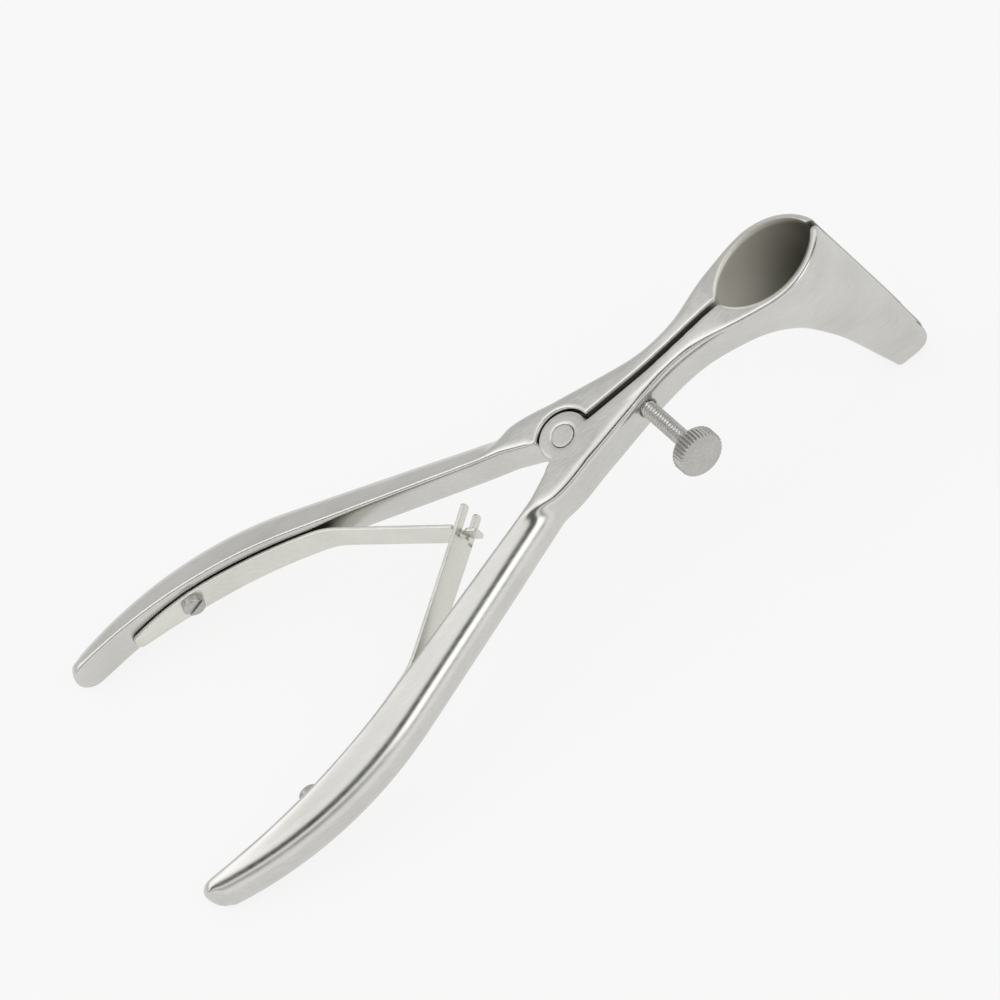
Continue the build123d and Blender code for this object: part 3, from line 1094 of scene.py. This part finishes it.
@dataclass
class Studio:
    """Pale floor, soft light and the photograph's viewing angle, in metres."""

    target: tuple[float, float, float] = (-0.00069, -0.00196, 0.02162)
    right: tuple[float, float, float] = (0.8619, -0.4142, -0.2926)
    up: tuple[float, float, float] = (0.5048, 0.6458, 0.5730)
    back: tuple[float, float, float] = (-0.0484, -0.6415, 0.7656)
    width: float = 0.15385
    lens_mm: float = 500.0
    sensor_mm: float = 36.0
    clip: tuple[float, float] = (0.05, 20.0)
    white: str = "#FFFFFF"
    floor_half: float = 3.0
    floor_colour: str = "#F4F4F3"
    floor_to_eye: float = 0.82
    floor_in_metal: float = 0.70
    sky: float = 0.64
    metal_sky: float = 1.2
    # Level that the metal shows at each angle in degrees, from the front over the top.
    cards: tuple[tuple[float, float], ...] = (
        (0.0, 0.86),
        (22.0, 0.86),
        (34.0, 0.40),
        (42.0, 0.36),
        (50.0, 0.95),
        (56.0, 0.95),
        (63.0, 0.06),
        (80.0, 0.06),
        (87.0, 0.98),
        (108.0, 0.98),
        (124.0, 0.56),
        (180.0, 0.60),
    )
    aim: tuple[float, float, float] = (0.0, 0.0, 0.02)
    lamps: tuple[SoftBox, ...] = (
        SoftBox("key", (0.35, -0.55, 0.75), 0.5, 0.8),
        SoftBox("fill", (-0.5, 0.3, 0.6), 0.6, 0.5),
    )

    def camera(self) -> None:
        """Long-lens camera whose frame is as wide as the photograph's at the target."""
        data = bpy.data.cameras.new("camera")
        data.lens = self.lens_mm
        data.sensor_width = self.sensor_mm
        data.clip_start, data.clip_end = self.clip
        obj = bpy.data.objects.new("camera", data)
        axes = Matrix((self.right, self.up, self.back)).transposed().to_4x4()
        distance = self.width * self.lens_mm / self.sensor_mm
        place = Vector(self.target) + Vector(self.back) * distance
        obj.matrix_world = Matrix.Translation(place) @ axes
        bpy.context.scene.collection.objects.link(obj)
        bpy.context.scene.camera = obj

    def floor(self) -> None:
        """Wide matt floor that stays white to the eye and in the metal, with a light shadow."""
        half = self.floor_half
        corners = [(-half, -half, 0), (half, -half, 0), (half, half, 0), (-half, half, 0)]
        mesh = bpy.data.meshes.new("floor")
        mesh.from_pydata(corners, [], [(0, 1, 2, 3)])
        obj = bpy.data.objects.new("floor", mesh)
        bpy.context.scene.collection.objects.link(obj)
        # Painted board, rolled matt: no sheen, so only the soft shadow shows on it.
        material = bpy.data.materials.new("matt_white_floor")
        material.use_nodes = True
        tree = material.node_tree
        tree.nodes.clear()
        ray = add_node(tree, "ShaderNodeLightPath")
        matt = add_node(tree, "ShaderNodeBsdfDiffuse", {"Color": linear(self.floor_colour)})
        glow = add_node(tree, "ShaderNodeEmission", {"Color": linear(self.white)}, strength=1.0)
        gloss, eye = [
            add_node(
                tree, "ShaderNodeMath", {0: ray.outputs[name], 1: level}, operation="MULTIPLY"
            ).outputs[0]
            for name, level in (
                ("Is Glossy Ray", self.floor_in_metal),
                ("Is Camera Ray", self.floor_to_eye),
            )
        ]
        part = add_node(tree, "ShaderNodeMath", {0: gloss, 1: eye}, operation="MAXIMUM")
        mixed = add_node(
            tree,
            "ShaderNodeMixShader",
            {0: part.outputs[0], 1: matt.outputs[0], 2: glow.outputs[0]},
        )
        add_node(tree, "ShaderNodeOutputMaterial", {"Surface": mixed.outputs[0]})
        mesh.materials.append(material)

    def lamp(self, box: SoftBox) -> None:
        """Add one soft box, turned to the aim.

        Args:
            box: lamp to add.
        """
        data = bpy.data.lights.new(box.name, "AREA")
        data.size = box.size
        data.energy = box.power
        obj = bpy.data.objects.new(box.name, data)
        obj.location = box.place
        obj.rotation_mode = "QUATERNION"
        obj.rotation_quaternion = (Vector(self.aim) - Vector(box.place)).to_track_quat("-Z", "Y")
        bpy.context.scene.collection.objects.link(obj)

    def world(self) -> None:
        """Pale surroundings, white to the eye, with light and dark cards for the metal to show.

        A card's level depends on the angle whose tangent is the height over the way forward.
        """
        world = bpy.data.worlds.new("studio")
        bpy.context.scene.world = world
        world.use_nodes = True
        tree = world.node_tree
        tree.nodes.clear()
        ray = add_node(tree, "ShaderNodeLightPath")
        coords = add_node(tree, "ShaderNodeTexCoord")
        way = add_node(tree, "ShaderNodeSeparateXYZ", {0: coords.outputs["Generated"]})
        front = add_node(
            tree, "ShaderNodeMath", {0: way.outputs["Y"], 1: -1.0}, operation="MULTIPLY"
        )
        angle = add_node(
            tree, "ShaderNodeMath", {0: way.outputs["Z"], 1: front.outputs[0]}, operation="ARCTAN2"
        )
        share = add_node(
            tree, "ShaderNodeMath", {0: angle.outputs[0], 1: math.pi}, operation="DIVIDE"
        )
        card = add_node(tree, "ShaderNodeValToRGB", {"Fac": share.outputs[0]})
        card.color_ramp.interpolation = "EASE"
        steps = card.color_ramp.elements
        while len(steps) < len(self.cards):
            steps.new(0.5)
        for step, (degrees, level) in zip(steps, self.cards):
            step.position = degrees / 180
            step.color = (level, level, level, 1.0)
        glow = add_node(
            tree,
            "ShaderNodeMath",
            {0: card.outputs["Color"], 1: self.metal_sky},
            operation="MULTIPLY",
        )
        shine = add_node(
            tree,
            "ShaderNodeMix",
            {0: ray.outputs["Is Glossy Ray"], 2: self.sky, 3: glow.outputs[0]},
            data_type="FLOAT",
        )
        level = add_node(
            tree,
            "ShaderNodeMath",
            {0: shine.outputs[0], 1: ray.outputs["Is Camera Ray"]},
            operation="MAXIMUM",
        )
        pale = add_node(
            tree,
            "ShaderNodeBackground",
            {"Color": linear(self.white), "Strength": level.outputs[0]},
        )
        add_node(tree, "ShaderNodeOutputWorld", {"Surface": pale.outputs[0]})

    def build(self) -> None:
        """Set up camera, floor, surroundings, lamps and the plain view transform."""
        self.camera()
        self.floor()
        self.world()
        for box in self.lamps:
            self.lamp(box)
        bpy.context.scene.view_settings.view_transform = "Standard"


def main() -> None:
    """Build every sub-assembly, then the studio."""
    logging.basicConfig(level=logging.INFO)
    Fasteners().build()
    for side in Side:
        ForgedArm(side).build()
        LeafSpring(side).build()
    SetScrew().build()
    Studio().build()


if __name__ == "__main__":
    main()
